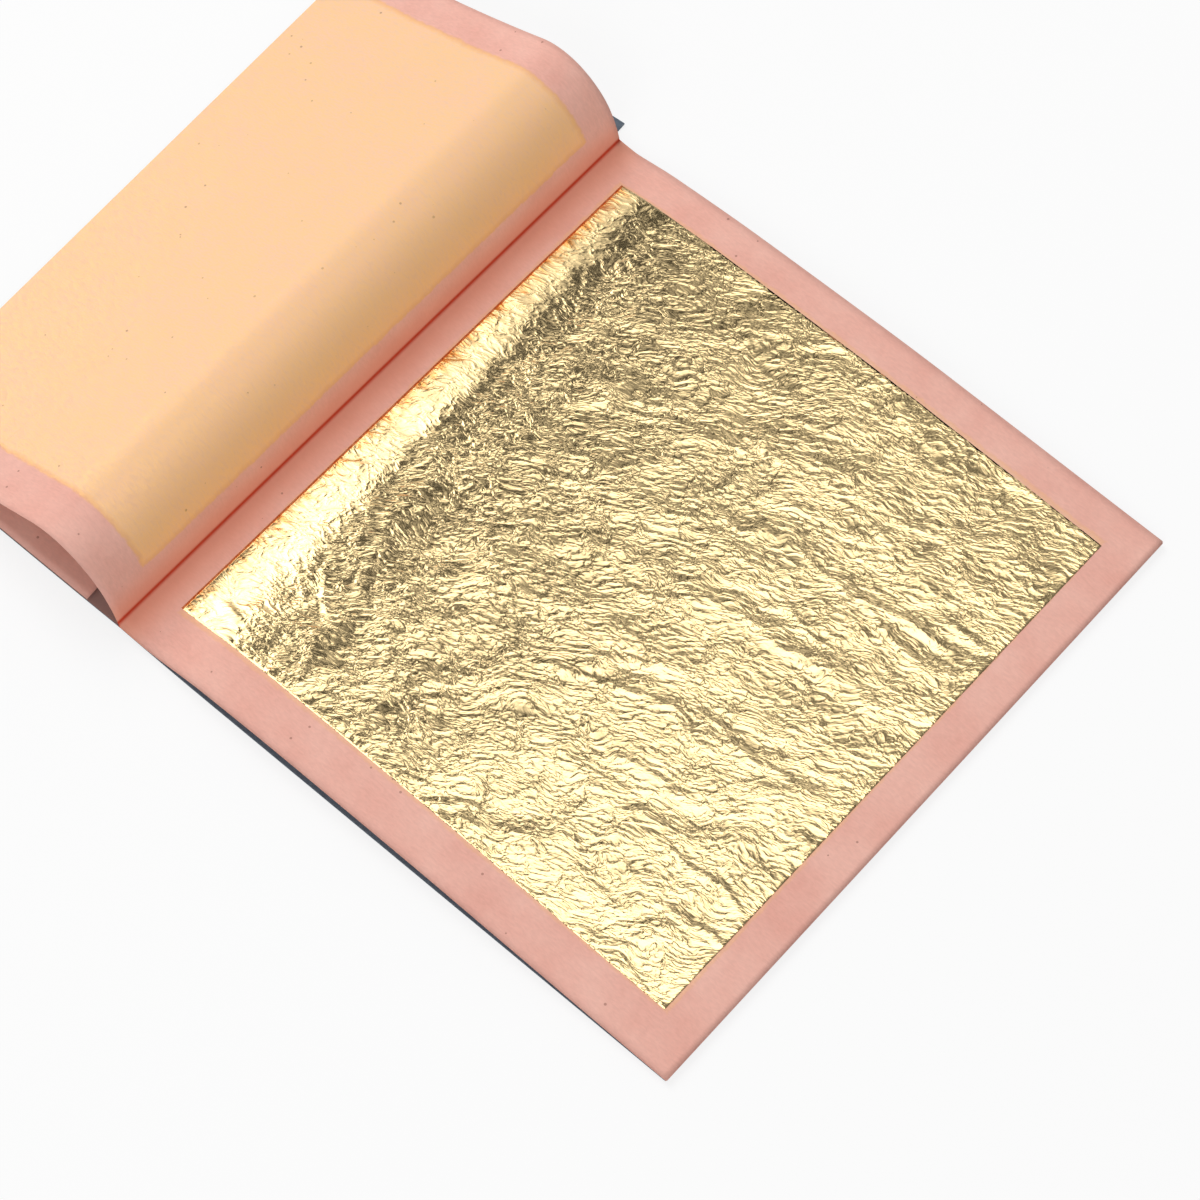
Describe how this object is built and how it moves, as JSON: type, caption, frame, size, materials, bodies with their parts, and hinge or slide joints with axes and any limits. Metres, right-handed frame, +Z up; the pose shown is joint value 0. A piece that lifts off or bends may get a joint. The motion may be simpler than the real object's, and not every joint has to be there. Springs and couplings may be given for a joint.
{
  "type": "gold_leaf_booklet",
  "caption": "Square stapled booklet of rouge tissue pages with gold leaves, opened at its first page, with the card cover and the turned page folded under at the left",
  "frame": {"origin": "centre of the back cover's flat underside, on the surface it lies on", "axes": "+Z up out of the top page, +X from the spine to the outer edge of the stack, +Y along the spine away from the viewer"},
  "size_m": [0.1345, 0.0955, 0.013],
  "materials": {
    "cover_card": "matt solid-dyed slate blue card",
    "rouge_tissue": "soft matt rouge-pink tissue",
    "leaf_gold": "crinkled mirror-like gold foil",
    "staple_wire": "drawn zinc-coated wire"
  },
  "bodies": {
    "back": {"back_cover": "cover_card", "staples": "staple_wire"},
    "front_cover": {"front_cover_inner": "cover_card"},
    "front_cover_fold": {"front_cover_outer": "cover_card"},
    "turned_page_root": {"page_01_strip_1": "rouge_tissue"},
    "turned_page_bend": {"page_01_strip_2": "rouge_tissue", "page_01_strip_3": "rouge_tissue"},
    "turned_page_span": {"page_01_span": "rouge_tissue"},
    "turned_page_flap": {"page_01_flap": "rouge_tissue"},
    "top_page": {"page_02": "rouge_tissue"},
    "gold_leaf": {"leaf_01": "leaf_gold"},
    "page_03_with_leaf": {"page_03": "rouge_tissue", "leaf_02": "leaf_gold"},
    "page_04_with_leaf": {"page_04": "rouge_tissue", "leaf_03": "leaf_gold"},
    "page_05_with_leaf": {"page_05": "rouge_tissue", "leaf_04": "leaf_gold"},
    "page_06_with_leaf": {"page_06": "rouge_tissue", "leaf_05": "leaf_gold"},
    "page_07_with_leaf": {"page_07": "rouge_tissue", "leaf_06": "leaf_gold"},
    "page_08_with_leaf": {"page_08": "rouge_tissue", "leaf_07": "leaf_gold"},
    "page_09_with_leaf": {"page_09": "rouge_tissue", "leaf_08": "leaf_gold"},
    "page_10_with_leaf": {"page_10": "rouge_tissue", "leaf_09": "leaf_gold"},
    "page_11_with_leaf": {"page_11": "rouge_tissue", "leaf_10": "leaf_gold"}
  },
  "joints": [
    {"name": "front_cover_turn", "type": "hinge", "parent": "back", "child": "front_cover", "pos_m": [-0.0444, 0, 0.00156], "axis": [0, -1, 0], "range_deg": [-150, 0]},
    {"name": "front_cover_unfold", "type": "hinge", "parent": "front_cover", "child": "front_cover_fold", "pos_m": [-0.08807, 0, 0.0003], "axis": [0.034, -0.9994, 0], "range_deg": [-180, 0]},
    {"name": "page_01_root_bend", "type": "hinge", "parent": "back", "child": "turned_page_root", "pos_m": [-0.0444, 0, 0.00156], "axis": [0, -1, 0], "range_deg": [-72.7, 0]},
    {"name": "page_01_middle_bend", "type": "hinge", "parent": "turned_page_root", "child": "turned_page_bend", "pos_m": [-0.0458, 0, 0.00687], "axis": [0, -1, 0], "range_deg": [-77.2, 0]},
    {"name": "page_01_outer_bend", "type": "hinge", "parent": "turned_page_bend", "child": "turned_page_span", "pos_m": [-0.05725, 0, 0.01235], "axis": [0, -1, 0], "range_deg": [-20.5, 0]},
    {"name": "page_01_fold", "type": "hinge", "parent": "turned_page_span", "child": "turned_page_flap", "pos_m": [-0.08831, 0, 0.00088], "axis": [0.034, -0.9994, 0], "range_deg": [0, 13]},
    {"name": "page_03_turn", "type": "hinge", "parent": "back", "child": "page_03_with_leaf", "pos_m": [-0.0444, 0, 0.00156], "axis": [0, -1, 0], "range_deg": [0, 30]},
    {"name": "page_04_turn", "type": "hinge", "parent": "back", "child": "page_04_with_leaf", "pos_m": [-0.0444, 0, 0.00156], "axis": [0, -1, 0], "range_deg": [0, 26.87]},
    {"name": "page_05_turn", "type": "hinge", "parent": "back", "child": "page_05_with_leaf", "pos_m": [-0.0444, 0, 0.00156], "axis": [0, -1, 0], "range_deg": [0, 23.53]},
    {"name": "page_06_turn", "type": "hinge", "parent": "back", "child": "page_06_with_leaf", "pos_m": [-0.0444, 0, 0.00156], "axis": [0, -1, 0], "range_deg": [0, 20.2]},
    {"name": "page_07_turn", "type": "hinge", "parent": "back", "child": "page_07_with_leaf", "pos_m": [-0.0444, 0, 0.00156], "axis": [0, -1, 0], "range_deg": [0, 16.87]},
    {"name": "page_08_turn", "type": "hinge", "parent": "back", "child": "page_08_with_leaf", "pos_m": [-0.0444, 0, 0.00156], "axis": [0, -1, 0], "range_deg": [0, 13.53]},
    {"name": "page_09_turn", "type": "hinge", "parent": "back", "child": "page_09_with_leaf", "pos_m": [-0.0444, 0, 0.00156], "axis": [0, -1, 0], "range_deg": [0, 10.2]},
    {"name": "page_10_turn", "type": "hinge", "parent": "back", "child": "page_10_with_leaf", "pos_m": [-0.0444, 0, 0.00156], "axis": [0, -1, 0], "range_deg": [0, 6.87]},
    {"name": "page_11_turn", "type": "hinge", "parent": "back", "child": "page_11_with_leaf", "pos_m": [-0.0444, 0, 0.00156], "axis": [0, -1, 0], "range_deg": [0, 3.53]},
    {"name": "page_02_turn", "type": "hinge", "parent": "page_03_with_leaf", "child": "top_page", "pos_m": [-0.0444, 0, 0.00156], "axis": [0, -1, 0], "range_deg": [0, 45]},
    {"name": "leaf_01_lift", "type": "slide", "parent": "top_page", "child": "gold_leaf", "axis": [0, 0, 1], "range_m": [0, 0.025]}
  ],
  "couplings": [
    {"joint": "page_01_root_bend", "follows": "front_cover_turn", "ratio": 0.48133},
    {"joint": "page_01_middle_bend", "follows": "front_cover_turn", "ratio": 0.51133},
    {"joint": "page_01_outer_bend", "follows": "front_cover_turn", "ratio": 0.13333},
    {"joint": "page_01_fold", "follows": "front_cover_turn", "ratio": -0.083333},
    {"joint": "page_04_turn", "follows": "page_03_turn", "ratio": 0.88889},
    {"joint": "page_05_turn", "follows": "page_03_turn", "ratio": 0.77778},
    {"joint": "page_06_turn", "follows": "page_03_turn", "ratio": 0.66667},
    {"joint": "page_07_turn", "follows": "page_03_turn", "ratio": 0.55556},
    {"joint": "page_08_turn", "follows": "page_03_turn", "ratio": 0.44444},
    {"joint": "page_09_turn", "follows": "page_03_turn", "ratio": 0.33333},
    {"joint": "page_10_turn", "follows": "page_03_turn", "ratio": 0.22222},
    {"joint": "page_11_turn", "follows": "page_03_turn", "ratio": 0.11111}
  ]
}
